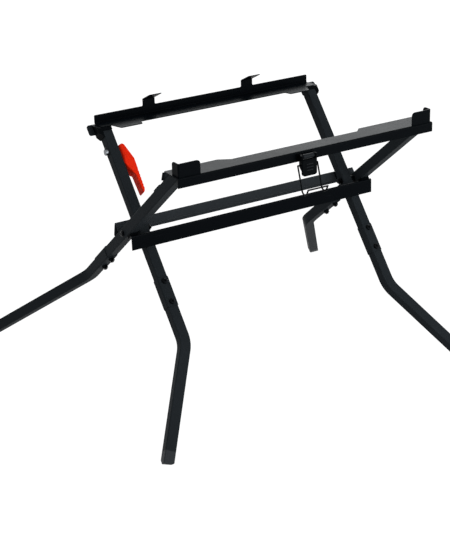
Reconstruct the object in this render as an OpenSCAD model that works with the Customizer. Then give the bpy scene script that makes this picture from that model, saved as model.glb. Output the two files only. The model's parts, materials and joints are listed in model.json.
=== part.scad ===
// Folding saw stand: two crossed frames of square tube that open to a right angle,
// with pressed top rails, splayed feet, a draw latch and a lock lever.
// X runs along the rails, Y to the rear, Z up from the floor.

/* [Stance] */
// Height of the scissor pivot above the floor
pivot_h = 400; // [380:1:420]
// Height of the top rails above the floor
platform_h = 606; // [596:1:616]
// Lean of the inner frame from upright, in degrees
inner_lean = 39.5; // [38:0.5:41]
// Angle by which the feet splay outwards, in degrees
splay = 30; // [24:1:34]
// Distance down the leg from the pivot to the splay bend
splay_start = 262; // [240:1:290]
// Radius of the splay bend on the tube's centre line
splay_radius = 70; // [50:1:90]

/* [Frames] */
// Overall width of the inner frame
inner_w = 592; // [560:2:640]
// Gap between an inner and an outer leg
side_gap = 11; // [9:0.5:15]
// Outside size of the square tube
tube = 25; // [24:0.5:27]
// Wall of the square tube
tube_wall = 1.5; // [1.2:0.1:2.2]
// Outside corner radius of the square tube
tube_corner = 2.5; // [2.3:0.1:3]

/* [Leg sleeves] */
// Distance down the leg from the pivot to a sleeve's top
sleeve_top = 124; // [110:1:140]
// Length of a sleeve
sleeve_len = 70; // [60:1:80]
// Wall of a sleeve
sleeve_wall = 1.4; // [1.2:0.1:2]
// Distance from a sleeve's end to its bolt
sleeve_bolt_inset = 10; // [9:0.5:14]
// Diameter of the sleeve bolts
sleeve_bolt_d = 8; // [7:0.5:9]
// Head diameter of the sleeve bolts
sleeve_head_d = 13; // [12:0.5:16]

/* [Feet] */
// Visible length of an inner foot cap
foot_len = 30; // [30:1:36]
// Visible length of an outer foot cap along its middle
outer_foot_len = 42; // [40:1:50]
// Depth by which the floor cuts the end of an inner foot cap
foot_dip = 6; // [4:0.5:6]
// Length of a foot cap's plug inside the tube
foot_plug = 16; // [10:1:22]

/* [Pressed sheet] */
// Thickness of the pressed sheet
sheet = 2; // [1.5:0.1:2.5]
// Inside radius of the bends
bend = 1.2; // [1:0.1:2]

/* [Rear rail] */
// Depth of the ledge in the middle
ledge_depth = 47.4; // [44:0.2:52]
// Depth of the ledge over the legs
ledge_end_depth = 34.4; // [32:0.2:38]
// Depth of the ledge at its two pads
pad_depth = 65; // [60:1:72]
// Distance from the middle to a pad's inner front corner
pad_inner = 205; // [190:1:215]
// Distance from the middle to a pad's outer front corner
pad_outer = 260; // [250:1:262]
// Height of the rear flange above the ledge
rear_flange = 18.7; // [16:0.1:22]
// Width of a saw hook
hook_w = 32; // [26:1:38]
// Height of a saw hook's upright above the ledge
hook_upright = 34.6; // [32:0.2:40]
// Reach of a saw hook's lip towards the front
hook_reach = 35.5; // [30:0.5:40]
// Rise of a saw hook's lip from its root to its tip
hook_rise = 17.4; // [12:0.2:22]
// Middle between the two saw hooks and of the latch along the rails
latch_x = -16.5; // [-20:0.5:-12]
// Distance from that middle to each hook's middle
hook_spread = 136; // [120:1:150]

/* [Front rail] */
// Depth of the front rail in the middle
front_depth = 44.8; // [42:0.2:48]
// Depth of the front rail at its ends
front_end_depth = 59.7; // [56:0.2:62]
// Height of the front flange
front_flange = 22; // [20:0.5:26]
// Distance from the middle to the start of the left end pad
left_pad_x = 202; // [190:1:215]
// Distance from the middle to the start of the right end pad
right_pad_x = 168; // [155:1:180]
// Height of a corner stop above the rail
stop_h = 30; // [24:1:36]
// Length of a corner stop along the rail
stop_len = 53; // [45:1:60]
// Length of a corner stop towards the rear
stop_side = 26; // [20:1:34]

/* [Lower rails] */
// Drop from the pivot to a lower rail's stop flange along the leg
stop_drop = 19.3; // [18.5:0.1:22]
// Distance from the leg's middle to the corner of the lower rail's ridge
ridge_out = 38.4; // [36:0.2:42]
// Length of the lower rail's face along the leg
rail_section = 29.4; // [26:0.2:34]
// Width of a rubber rest pad along the rail
rest_w = 22; // [16:0.5:24]
// Depth of a rubber rest pad across the rail
rest_depth = 17; // [12:0.5:18]

/* [Pivot] */
// Diameter of the pivot bolts
pivot_d = 8; // [7:0.5:9]
// Head diameter of the pivot bolts
pivot_head_d = 14; // [12:0.5:17]
// Head height of the pivot bolts
pivot_head_h = 5; // [4:0.5:7]
// Diameter of the spacers between the legs
spacer_d = 18; // [14:0.5:22]
// Thickness of the pivot nuts
pivot_nut_h = 6.5; // [5:0.5:8]

/* [Leg tops] */
// Thickness of the stop tabs on the inner legs
tab_t = 3; // [2:0.5:4]
// Reach of a stop tab beyond the inner leg
tab_reach = 22; // [18:0.5:23]
// Length of a stop tab along the leg
tab_len = 26; // [22:1:30]
// Thickness of a top spacer's outer block
spacer_block = 9.6; // [7:0.1:10]
// Thickness of a top spacer's front band
spacer_band = 2; // [1.5:0.1:3]
// Length of a top spacer's band along the leg's front face
spacer_len = 9; // [7:0.5:12]
// Length of a top spacer's outer block along the leg's front edge
spacer_drop = 23; // [20:0.5:28]
// Size of the gusset between an outer leg and the front rail
gusset_size = 20; // [16:0.5:24]
// Outward step of the gusset's rear plate beyond the leg
gusset_step = 3.5; // [2:0.5:5]

/* [Lock lever] */
// Distance down the leg from its top to the lock shaft
lock_drop = 77.7; // [72:0.1:84]
// Diameter of the lock shaft
lock_d = 8; // [7:0.5:9]
// Length of the lever from the shaft to the grip's end
lock_len = 117; // [108:1:128]
// Depth of the lever across the leg
lock_depth = 26; // [22:0.5:28]
// Widest reach of the lever from the leg
lock_reach = 28; // [25:0.5:32]
// Thickness of the grip
grip_t = 11; // [9:0.5:13]
// Diameter of the shaft's head outside the leg
lock_head_d = 15; // [13:0.5:17]
// Height of the shaft's head
lock_head_h = 7; // [5:0.5:8]

/* [Draw latch] */
// Width of the latch lever
latch_w = 40; // [34:1:46]
// Height of the latch lever
latch_h = 42; // [38:1:48]
// Wire diameter of the bail
wire_d = 3.6; // [3:0.1:4]
// Gap between the lever's side and the bail's wire
wire_gap = 5.5; // [5.4:0.1:7]
// Length of the bail's straight sides
bail_len = 54; // [50:1:62]
// Bend radius of the bail's hook
hook_r = 10; // [8:0.5:12]
// Angle through which the bail's hook turns back up, in degrees
hook_turn = 135; // [120:1:150]
// Length of the hook's tip beyond its bend
hook_tip = 10.5; // [8:0.5:16]
// Forward lean of the hanging bail, in degrees
bail_lean = 17; // [12:1:24]

/* [Hidden] */

$fn = 48;
// Clearance between pieces that move past each other, and under seated pads
gap = 0.3;
// Radial clearance of a turning shaft, and of a fixed bolt
run_fit = 0.06;
bolt_fit = 0.1;
// Length that reaches past any face in a cut
past = 1;

// The lower rails' stop flanges are square to their legs, so the frames open to a right angle
outer_lean = 90 - inner_lean;
half = tube / 2;
inner_x = inner_w / 2;
outer_x = inner_x + side_gap + tube;
inner_mid = inner_x - half;
outer_mid = outer_x - half;
rail_x = outer_x - 0.5;
// Height of the rails' top and underside above the pivot
top_z = platform_h - pivot_h;
under_z = top_z - sheet;
// The origin lies on the floor in the middle between the foremost and rearmost foot
pivot_y = (pivot_h * (tan(inner_lean) - tan(outer_lean))
    + half * (1 / cos(inner_lean) - 1 / cos(outer_lean))) / 2;
// The rear flange stands just behind the inner legs, the front flange just before the outer legs
rear_y = under_z * tan(inner_lean) + half / cos(inner_lean) + 0.6;
front_y = -(under_z * tan(outer_lean) + half / cos(outer_lean)) - 0.6;

// Directions and turned vectors in a plane
function unit(v) = v / norm(v);
function left_of(v) = [-v[1], v[0]];
function turned(v, a) = [v[0] * cos(a) - v[1] * sin(a), v[0] * sin(a) + v[1] * cos(a)];
function backwards(list) = [for (i = [len(list) - 1 : -1 : 0]) list[i]];

// Arc of radius r in the corner c between the points p and q
function corner_arc(p, c, q, r, n) =
    let (
        u = unit(p - c),
        v = unit(q - c),
        opening = acos(u * v) / 2,
        mid = c + unit(u + v) * r / sin(opening),
        start = c + u * r / tan(opening) - mid,
        way = sign(u[1] * v[0] - u[0] * v[1])
    )
    [for (k = [0 : n]) mid + turned(start, way * k / n * (180 - 2 * opening))];

// Open path and closed outline with each corner [x, y, r] rounded
function round_path(pts, n = 4) = [
    for (i = [0 : len(pts) - 1])
        let (p = pts[i], c = [p[0], p[1]])
        each (i == 0 || i == len(pts) - 1 || p[2] == 0) ? [c]
            : corner_arc([pts[i - 1][0], pts[i - 1][1]], c, [pts[i + 1][0], pts[i + 1][1]], p[2], n)
];
function round_loop(pts, n = 4) =
    let (m = len(pts))
    [
        for (i = [0 : m - 1])
            let (p = pts[i], a = pts[(i + m - 1) % m], b = pts[(i + 1) % m])
            each p[2] == 0 ? [[p[0], p[1]]]
                : corner_arc([a[0], a[1]], [p[0], p[1]], [b[0], b[1]], p[2], n)
    ];

// Outline of a sheet of thickness t laid to the left of a path, or to its right where t is negative
function beside(path, t) = [
    for (i = [0 : len(path) - 1])
        let (
            a = left_of(unit(path[max(i, 1)] - path[max(i, 1) - 1])),
            j = min(i, len(path) - 2),
            b = left_of(unit(path[j + 1] - path[j]))
        )
        path[i] + t * (a + b) / (1 + a * b)
];
function sheet_outline(path, t) = concat(path, backwards(beside(path, t)));

// Rounded square outline round the origin
function square_outline(size, r) =
    let (h = size / 2)
    round_loop([[h, h, r], [-h, h, r], [-h, -h, r], [h, -h, r]]);

// Placing
module at_pivot() {
    translate([0, pivot_y, pivot_h]) children();
}

// Leg coordinates: x across, y out of the leg's upper face, z up the leg from the pivot
module inner_axes() {
    at_pivot() rotate([-inner_lean, 0, 0]) mirror([0, 1, 0]) children();
}

module outer_axes() {
    at_pivot() rotate([outer_lean, 0, 0]) children();
}

module on_side(side) {
    if (side == "left") mirror([1, 0, 0]) children();
    else children();
}

// Extrusion along X of an outline drawn in Y and Z
module along_x(x0, x1) {
    translate([x0, 0, 0]) rotate([90, 0, 90]) linear_extrude(x1 - x0) children();
}

// Round bar along X
module bar_x(r, x0, x1) {
    translate([x0, 0, 0]) rotate([0, 90, 0]) cylinder(r = r, h = x1 - x0);
}

// The run below the splay bend: z points back up the tube from the bend's end
module below_bend(mid) {
    translate([mid + splay_radius, 0, -splay_start]) rotate([0, -splay, 0])
        translate([-splay_radius, 0, 0]) children();
}

// Length of that run from the bend's end to a distance down the leg
function run_to(s) = (s - splay_start - splay_radius * sin(splay)) / cos(splay);

module above_floor() {
    intersection() {
        children();
        translate([-outer_x * 3, -pivot_h * 4, 0])
            cube([outer_x * 6, pivot_h * 8, platform_h * 2]);
    }
}

// Square tube
bore = tube - 2 * tube_wall;
bore_corner = tube_corner - tube_wall;

module tube_section() {
    difference() {
        polygon(square_outline(tube, tube_corner));
        polygon(square_outline(bore, bore_corner));
    }
}

module straight_tube(z0, z1) {
    translate([0, 0, z0]) linear_extrude(z1 - z0) tube_section();
}

// Upper legs run from the middle of the sleeve to under the top rails
leg_joint = sleeve_top + sleeve_len / 2;
inner_top = (under_z + half * sin(inner_lean)) / cos(inner_lean);
outer_top = (under_z + half * sin(outer_lean)) / cos(outer_lean);
lock_s = inner_top - lock_drop;

module under_rails() {
    intersection() {
        children();
        at_pivot() translate([-outer_x * 2, front_y + sheet + bend, -pivot_h])
            cube([outer_x * 4, rear_y - front_y - sheet - bend, pivot_h + under_z]);
    }
}

module inner_leg(side) {
    color([0.2, 0.21, 0.23]) under_rails() inner_axes() on_side(side) translate([inner_mid, 0, 0])
        difference() {
            straight_tube(-leg_joint + gap, inner_top + past);
            bar_x(pivot_d / 2 + bolt_fit, -tube, tube);
            translate([0, 0, -sleeve_top - sleeve_bolt_inset]) rotate([90, 0, 0])
                cylinder(d = sleeve_bolt_d + 2 * bolt_fit, h = 2 * tube, center = true);
            if (side == "left")
                translate([0, 0, lock_s]) bar_x(lock_d / 2 + run_fit, -tube, tube);
        }
}

module outer_leg(side) {
    color([0.2, 0.21, 0.23]) under_rails() outer_axes() on_side(side) translate([outer_mid, 0, 0])
        difference() {
            straight_tube(-leg_joint + gap, outer_top + past);
            bar_x(pivot_d / 2 + run_fit, -tube, tube);
            translate([0, 0, -sleeve_top - sleeve_bolt_inset]) rotate([90, 0, 0])
                cylinder(d = sleeve_bolt_d + 2 * bolt_fit, h = 2 * tube, center = true);
        }
}

// Lower legs: straight from the sleeve, a bend in the plane of the frame and a splayed run
// that reaches into the bend by a hair's breadth, so that the tube is one piece
bend_lap = 0.02;

module bent_run(mid, end_s, size, corner, over = 0) {
    translate([mid, 0, -splay_start]) linear_extrude(splay_start - leg_joint - gap + over)
        polygon(square_outline(size, corner));
    translate([mid + splay_radius, 0, -splay_start]) rotate([-90, 0, 180])
        rotate_extrude(angle = splay, $fn = 96) translate([splay_radius, 0])
        polygon(square_outline(size, corner));
    below_bend(mid) translate([0, 0, -run_to(end_s) - over])
        linear_extrude(run_to(end_s) + over + bend_lap) polygon(square_outline(size, corner));
}

module lower_leg(mid, end_s) {
    difference() {
        bent_run(mid, end_s, tube, tube_corner);
        bent_run(mid, end_s, bore, bore_corner, past);
        translate([mid, 0, -sleeve_top - sleeve_len + sleeve_bolt_inset]) rotate([90, 0, 0])
            cylinder(d = sleeve_bolt_d + 2 * bolt_fit, h = 2 * tube, center = true);
    }
}

// Distances down the legs to the foot caps' ends and tops
inner_end = (pivot_h + foot_dip) / cos(inner_lean);
outer_end = pivot_h / cos(outer_lean);
inner_cap_s = inner_end - foot_len * cos(splay);
outer_cap_s = outer_end - outer_foot_len * cos(splay);

module inner_lower_leg(side) {
    color([0.2, 0.21, 0.23]) inner_axes() on_side(side) lower_leg(inner_mid, inner_cap_s);
}

module outer_lower_leg(side) {
    color([0.2, 0.21, 0.23]) outer_axes() on_side(side) lower_leg(outer_mid, outer_cap_s);
}

// Foot caps: flush with the tube, with a plug inside it
module foot_cap(mid, cap_s, end_s) {
    below_bend(mid) {
        translate([0, 0, -run_to(end_s)]) linear_extrude(run_to(end_s) - run_to(cap_s))
            polygon(square_outline(tube, tube_corner));
        translate([0, 0, -run_to(cap_s) - past]) linear_extrude(foot_plug + past)
            polygon(square_outline(bore - 2 * bolt_fit, bore_corner));
    }
}

module inner_foot(side) {
    color([0.25, 0.26, 0.28]) above_floor() inner_axes() on_side(side)
        foot_cap(inner_mid, inner_cap_s, inner_end);
}

module outer_foot(side) {
    color([0.25, 0.26, 0.28]) above_floor() outer_axes() on_side(side)
        foot_cap(outer_mid, outer_cap_s, outer_end + outer_foot_len);
}

// Sleeves over the joint between the upper and lower legs
sleeve_out = tube + 2 * bolt_fit + 2 * sleeve_wall;

module sleeve(mid) {
    translate([mid, 0, -sleeve_top - sleeve_len]) difference() {
        linear_extrude(sleeve_len) difference() {
            polygon(square_outline(sleeve_out, tube_corner + sleeve_wall));
            polygon(square_outline(tube + 2 * bolt_fit, tube_corner));
        }
        for (z = [sleeve_bolt_inset, sleeve_len - sleeve_bolt_inset])
            translate([0, 0, z]) rotate([90, 0, 0])
                cylinder(d = sleeve_bolt_d + 2 * bolt_fit, h = 2 * sleeve_out, center = true);
    }
}

module inner_sleeve(side) {
    color([0.22, 0.23, 0.25]) inner_axes() on_side(side) sleeve(inner_mid);
}

module outer_sleeve(side) {
    color([0.22, 0.23, 0.25]) outer_axes() on_side(side) sleeve(outer_mid);
}

// Button head bolt along +Z: its head's seat lies at z = 0 and its shank runs down
module button_bolt(d, head_d, head_h, len) {
    rim = head_h * 0.35;
    difference() {
        rotate_extrude() polygon(concat(
            [[0, -len], [d / 2, -len], [d / 2, 0], [head_d / 2, 0]],
            [for (k = [0 : 5]) [
                head_d / 2 * (0.55 + 0.45 * cos(k * 18)), rim + (head_h - rim) * sin(k * 18)
            ]],
            [[0, head_h]]
        ));
        translate([0, 0, head_h / 2]) cylinder(d = d * 0.62, h = head_h, $fn = 6);
    }
}

module hex_nut(d, across, h) {
    difference() {
        cylinder(d = across / cos(30), h = h, $fn = 6);
        translate([0, 0, -past]) cylinder(d = d + 2 * run_fit, h = h + 2 * past);
    }
}

// Two bolts with nuts through each sleeve; the heads lie on the inner legs' upper face
// and on the outer legs' upper face
sleeve_nut_h = sleeve_bolt_d * 0.8;
sleeve_nut_across = sleeve_bolt_d * 13 / 8;
sleeve_head_h = sleeve_bolt_d * 0.55;
// Reach of a sleeve bolt beyond its nut
sleeve_bolt_end = 3;

module sleeve_bolts(mid) {
    for (z = [sleeve_bolt_inset, sleeve_len - sleeve_bolt_inset])
        translate([mid, 0, -sleeve_top - z]) {
            translate([0, sleeve_out / 2, 0]) rotate([-90, 0, 0])
                button_bolt(sleeve_bolt_d, sleeve_head_d, sleeve_head_h,
                    sleeve_out + sleeve_nut_h + sleeve_bolt_end);
            translate([0, -sleeve_out / 2, 0]) rotate([90, 0, 0])
                hex_nut(sleeve_bolt_d, sleeve_nut_across, sleeve_nut_h);
        }
}

module inner_sleeve_bolts(side) {
    color([0.12, 0.12, 0.13]) inner_axes() on_side(side) sleeve_bolts(inner_mid);
}

module outer_sleeve_bolts(side) {
    color([0.12, 0.12, 0.13]) outer_axes() on_side(side) sleeve_bolts(outer_mid);
}

// Rear rail: a ledge with a rear flange, two pads and two hooks bent from one sheet
pad_slope_in = 5;
pad_slope_out = 10;

module rear_rail() {
    lip_angle = atan2(hook_rise, hook_reach);
    lip_len = norm([hook_reach, hook_rise]);
    section = round_path([
        [rear_y - pad_depth, top_z, 0],
        [rear_y, top_z, bend],
        [rear_y, top_z + hook_upright, bend],
        [rear_y - hook_reach, top_z + hook_upright + hook_rise, 0]
    ]);
    front = [
        [inner_x, ledge_end_depth, 4],
        [pad_outer + pad_slope_out, ledge_end_depth, 4],
        [pad_outer, pad_depth, 4],
        [pad_inner, pad_depth, 4],
        [pad_inner - pad_slope_in, ledge_depth, 4]
    ];
    plan = concat(
        [for (p = front) [p[0], rear_y - p[1], p[2]]],
        [for (p = backwards(front)) [-p[0], rear_y - p[1], p[2]]],
        [[-inner_x, rear_y + tube, 0], [inner_x, rear_y + tube, 0]]
    );
    flange_z = top_z + rear_flange;
    hook_top = top_z + hook_upright + hook_rise + 2 * sheet;
    hooks = [for (h = [latch_x + hook_spread, latch_x - hook_spread]) each [
        [h + hook_w / 2, flange_z, 3],
        [h + hook_w / 2, hook_top, 0],
        [h - hook_w / 2, hook_top, 0],
        [h - hook_w / 2, flange_z, 3]
    ]];
    elevation = concat(
        [[-inner_x, under_z - past, 0], [inner_x, under_z - past, 0], [inner_x, flange_z, 3]],
        hooks,
        [[-inner_x, flange_z, 3]]
    );
    color([0.16, 0.17, 0.18]) at_pivot() intersection() {
        along_x(-inner_x, inner_x) polygon(sheet_outline(section, -sheet));
        translate([0, 0, under_z - past]) linear_extrude(hook_top)
            polygon(round_loop(plan));
        translate([0, rear_y + tube, 0]) rotate([90, 0, 0]) linear_extrude(pad_depth + 2 * tube)
            polygon(round_loop(elevation));
    }
}

// Front rail: a top plate with a front flange, deeper over the legs
module front_rail() {
    section = round_path([
        [front_y, top_z - front_flange, 0],
        [front_y, top_z, bend + sheet],
        [front_y + front_end_depth, top_z, 0]
    ]);
    slope_left = 27;
    slope_right = 14;
    back = front_y + front_end_depth;
    mid_back = front_y + front_depth;
    plan = [
        [-rail_x, front_y - past, 0],
        [rail_x, front_y - past, 0],
        [rail_x, back, 3],
        [right_pad_x, back, 5],
        [right_pad_x - slope_right, mid_back, 5],
        [-left_pad_x + slope_left, mid_back, 5],
        [-left_pad_x, back, 5],
        [-rail_x, back, 3]
    ];
    color([0.38, 0.4, 0.43]) at_pivot() intersection() {
        along_x(-rail_x, rail_x) polygon(sheet_outline(section, -sheet));
        translate([0, 0, top_z - front_flange - past]) linear_extrude(front_flange + 2 * past)
            polygon(round_loop(plan));
    }
}

// Corner stops: upright angles on the front rail's ends
module corner_stop(side) {
    edge = rail_x - 3;
    lead = front_y + 3;
    plan = round_path([
        [edge - stop_len, lead, 0],
        [edge, lead, bend + sheet],
        [edge, lead + stop_side, 0]
    ]);
    face = [
        [edge - stop_len, top_z, 0],
        [edge + past, top_z, 0],
        [edge + past, top_z + stop_h, 0],
        [edge - stop_len, top_z + stop_h, 8]
    ];
    cheek = [
        [lead - past, top_z, 0],
        [lead + stop_side, top_z, 0],
        [lead + stop_side, top_z + stop_h, 8],
        [lead - past, top_z + stop_h, 0]
    ];
    color([0.2, 0.21, 0.23]) at_pivot() on_side(side) intersection() {
        translate([0, 0, top_z]) linear_extrude(stop_h) polygon(sheet_outline(plan, sheet));
        translate([0, lead + stop_side + past, 0]) rotate([90, 0, 0])
            linear_extrude(stop_side + 2 * past) polygon(round_loop(face));
        along_x(edge - stop_len - past, edge + past) polygon(round_loop(cheek));
    }
}

// Gussets behind the outer legs' tops: a side plate and a rear plate that steps outwards
module gusset(side) {
    drop = 1.7 * gusset_size;
    low_s = outer_top - tube * tan(outer_lean) - drop;
    // Corners of the side plate: on the leg, on the rail's rear edge and down the leg
    on_leg = [-under_z * tan(outer_lean) + half / cos(outer_lean), under_z];
    on_rail = [front_y + front_end_depth - past, under_z];
    down_leg = [
        half * cos(outer_lean) - low_s * sin(outer_lean),
        half * sin(outer_lean) + low_s * cos(outer_lean)
    ];
    way = unit(down_leg - on_rail);
    color([0.2, 0.21, 0.23]) at_pivot() on_side(side) {
        along_x(outer_x - sheet, outer_x) polygon([on_leg, on_rail, down_leg]);
        along_x(outer_x - half + past, outer_x + gusset_step) intersection() {
            polygon(sheet_outline([on_rail - way * sheet, down_leg - way * 2 * sheet], -sheet));
            translate([on_rail[0] - tube, under_z - 2 * tube]) square(2 * tube);
        }
    }
}

// Lower rails: folded to a ridge, with a stop flange square to the leg and a face back to it
seat = half + gap;

module lower_rail() {
    section = round_path([
        [seat + sheet, -stop_drop - rail_section, 0],
        [ridge_out, -stop_drop, bend + sheet],
        [seat, -stop_drop, 0]
    ]);
    along_x(-rail_x, rail_x) polygon(sheet_outline(section, sheet));
}

module front_lower_rail() {
    color([0.1, 0.1, 0.11]) inner_axes() lower_rail();
}

module rear_lower_rail() {
    color([0.1, 0.1, 0.11]) outer_axes() lower_rail();
}

// Rubber rest pads between a stop flange and the other frame's leg
module rest_pad(mid) {
    translate([mid - rest_w / 2, seat + gap, -stop_drop])
        cube([rest_w, rest_depth, stop_drop - half - gap]);
}

module front_rest_pad(side) {
    color([0.06, 0.06, 0.06]) inner_axes() on_side(side) rest_pad(outer_mid);
}

module rear_rest_pad(side) {
    color([0.06, 0.06, 0.06]) outer_axes() on_side(side) rest_pad(inner_mid);
}

// Pivot: a bolt through both legs, a spacer between them and a nut inside the inner leg
pivot_end = 4;

module pivot_bolt(side) {
    color([0.3, 0.31, 0.33]) at_pivot() on_side(side) translate([outer_x + gap, 0, 0])
        rotate([0, 90, 0]) button_bolt(pivot_d, pivot_head_d, pivot_head_h,
            outer_x + gap - inner_x + tube + pivot_nut_h + pivot_end);
}

module pivot_nut(side) {
    color([0.3, 0.31, 0.33]) at_pivot() on_side(side)
        translate([inner_x - tube - pivot_nut_h, 0, 0]) rotate([0, 90, 0])
        hex_nut(pivot_d, pivot_d * 13 / 8, pivot_nut_h);
}

module pivot_spacer(side) {
    color([0.1, 0.1, 0.1]) at_pivot() on_side(side) difference() {
        bar_x(spacer_d / 2, inner_x, inner_x + side_gap - gap);
        bar_x(pivot_d / 2 + bolt_fit, inner_x - past, inner_x + side_gap + past);
    }
}

// Top spacers: plastic blocks beside the inner legs' tops, with a band across their front
module top_spacer(side) {
    front_top = (under_z - half * sin(inner_lean)) / cos(inner_lean);
    low = front_top - spacer_drop;
    top = inner_top + past;
    out = inner_x + spacer_block;
    plan = round_loop([
        [inner_x - tube, half, 0],
        [inner_x, half, 0],
        [inner_x, -half, 0],
        [out, -half, 1.5],
        [out, half + spacer_band, 5],
        [inner_x - tube, half + spacer_band, 1]
    ]);
    face = round_loop([
        [inner_x - tube - past, top, 0],
        [inner_x - tube - past, front_top - spacer_len, 0],
        [inner_x, front_top - spacer_len, 0],
        [inner_x, low, 0],
        [inner_x + 2, low, 1],
        [out, low + spacer_block, 6],
        [out, top, 0]
    ]);
    color([0.08, 0.08, 0.09]) under_rails() inner_axes() on_side(side) intersection() {
        translate([0, 0, low]) linear_extrude(top - low) polygon(plan);
        translate([0, tube, 0]) rotate([90, 0, 0]) linear_extrude(2 * tube) polygon(face);
    }
}

// Stop tabs: plates on the inner legs' lower face that the outer legs meet when folded
module stop_tab(side) {
    corner = 5;
    tab_end = inner_x + tab_reach;
    outline = round_loop([
        [inner_x - tube + past, 0, 0],
        [tab_end, 0, corner],
        [tab_end, -tab_len, corner],
        [inner_x + 5, -tab_len, 4],
        [inner_x, -tab_len - 5, 2],
        [inner_x - tube + past, -tab_len - 5, 2]
    ]);
    color([0.25, 0.26, 0.28]) under_rails() inner_axes() on_side(side)
        translate([0, -half, inner_top]) rotate([90, 0, 0]) linear_extrude(tab_t) polygon(outline);
}

// Strike plate on the left outer leg, just below the folded stop tab
module strike_plate() {
    top_s = inner_top - tab_len - past;
    inset = 1.5;
    plate_len = 35;
    color([0.25, 0.26, 0.28]) outer_axes() on_side("left")
        translate([outer_x - tube + inset, half, top_s]) rotate([-90, 0, 0]) linear_extrude(sheet)
        polygon(round_loop([
            [0, 0, 3],
            [tube - 2 * inset, 0, 3],
            [tube - 2 * inset, plate_len, 3],
            [0, plate_len, 3]
        ]));
}

// Lock lever beside the left inner leg: a hub round the shaft and an offset grip
module lock_lever() {
    // Rise above the shaft, drop to the widest place, and drops to the heel and the grip's root
    top = 10;
    widest = 31.5;
    heel = 40;
    root = 66;
    // Gap to the leg, the bevel beside it at the hub, and the grip's taper
    clear = 1;
    bevel = 5.5;
    taper = 3;
    inner_edge = lock_reach - grip_t;
    outline = round_loop([
        [clear, top, 2],
        [14.5, top, 4],
        [lock_reach, -widest, 6],
        [lock_reach - taper, -lock_len + 8, 4],
        [lock_reach - taper - 5, -lock_len, 2],
        [inner_edge + 1.5, -root - 6, 5],
        [clear, -heel, 2]
    ]);
    side_outline = round_loop([
        [lock_depth / 2, top + past, 4],
        [-lock_depth / 2, top + past, 4],
        [-lock_depth / 2, -lock_len - past, 4],
        [lock_depth / 2, -lock_len - past, 4]
    ]);
    grooves = 5;
    groove_pitch = 7;
    groove_r = 1.2;
    first_groove = 14;
    color([0.87, 0.16, 0.08]) inner_axes() translate([-(inner_x - tube), 0, lock_s]) difference() {
        intersection() {
            translate([0, lock_depth, 0]) rotate([90, 0, 0]) linear_extrude(2 * lock_depth)
                polygon(outline);
            along_x(-past, lock_reach + past) polygon(side_outline);
        }
        bar_x(lock_d / 2 + bolt_fit, -past, lock_reach);
        for (y = [-1, 1])
            translate([clear, y * lock_depth / 2, top - widest]) rotate([0, 0, 45])
                cube([bevel * sqrt(2), bevel * sqrt(2), 2 * widest], center = true);
        for (i = [0 : grooves - 1])
            translate([inner_edge, 0, -lock_len + first_groove + i * groove_pitch])
                rotate([90, 0, 0]) cylinder(r = groove_r, h = 2 * lock_depth, center = true, $fn = 24);
    }
}

// Lock shaft: turns with the lever in the left inner leg, with a round head outside it
module lock_shaft() {
    end = 16;
    color([0.6, 0.62, 0.64]) inner_axes()
        translate([-inner_x, 0, lock_s]) {
            bar_x(lock_d / 2, -gap, tube + end);
            bar_x(lock_head_d / 2 - 1, -gap - lock_head_h, -lock_head_h + 1);
            bar_x(lock_head_d / 2, -lock_head_h, -gap);
        }
}

// Draw latch: places of its pin and of the bail's hinge before the front flange
pin_r = 2.5;
pin_wall = 3;
pin_y = front_y - 9.3;
pin_z = top_z - 10;
hinge_drop = 18;
bail_y = pin_y + 1;
bail_z = pin_z - hinge_drop;
ear_in = latch_w / 2 - sheet - 2 * gap;

module latch_base() {
    side = ear_in + 6;
    rim = 3;
    seat_y = front_y - sheet / 2;
    ear_top = pin_z + pin_r + pin_wall;
    ear_front = pin_y - pin_r - pin_wall;
    outline = round_loop([
        [side, top_z - rim, 3],
        [-side, top_z - rim, 3],
        [-side, top_z - front_flange + 1, 3],
        [side, top_z - front_flange + 1, 3]
    ]);
    ear = round_loop([
        [seat_y, pin_z - 8, 0],
        [seat_y, ear_top, 0],
        [ear_front, ear_top, 5],
        [ear_front, pin_z - pin_r - pin_wall, 5]
    ]);
    color([0.12, 0.12, 0.13]) at_pivot() translate([latch_x, 0, 0]) difference() {
        union() {
            translate([0, front_y, 0]) rotate([90, 0, 0]) linear_extrude(sheet) polygon(outline);
            for (x = [-ear_in, ear_in - sheet])
                along_x(x, x + sheet) polygon(ear);
        }
        translate([0, pin_y, pin_z]) bar_x(pin_r + run_fit, -latch_w, latch_w);
    }
}

// Pin with a barrel between the ears
module latch_pin() {
    reach = latch_w / 2 + 1.5;
    barrel = ear_in - sheet - gap;
    color([0.6, 0.62, 0.64]) at_pivot() translate([latch_x, pin_y, pin_z]) {
        bar_x(pin_r, -reach, reach);
        bar_x(pin_r + 2, -barrel, barrel);
    }
}

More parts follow.
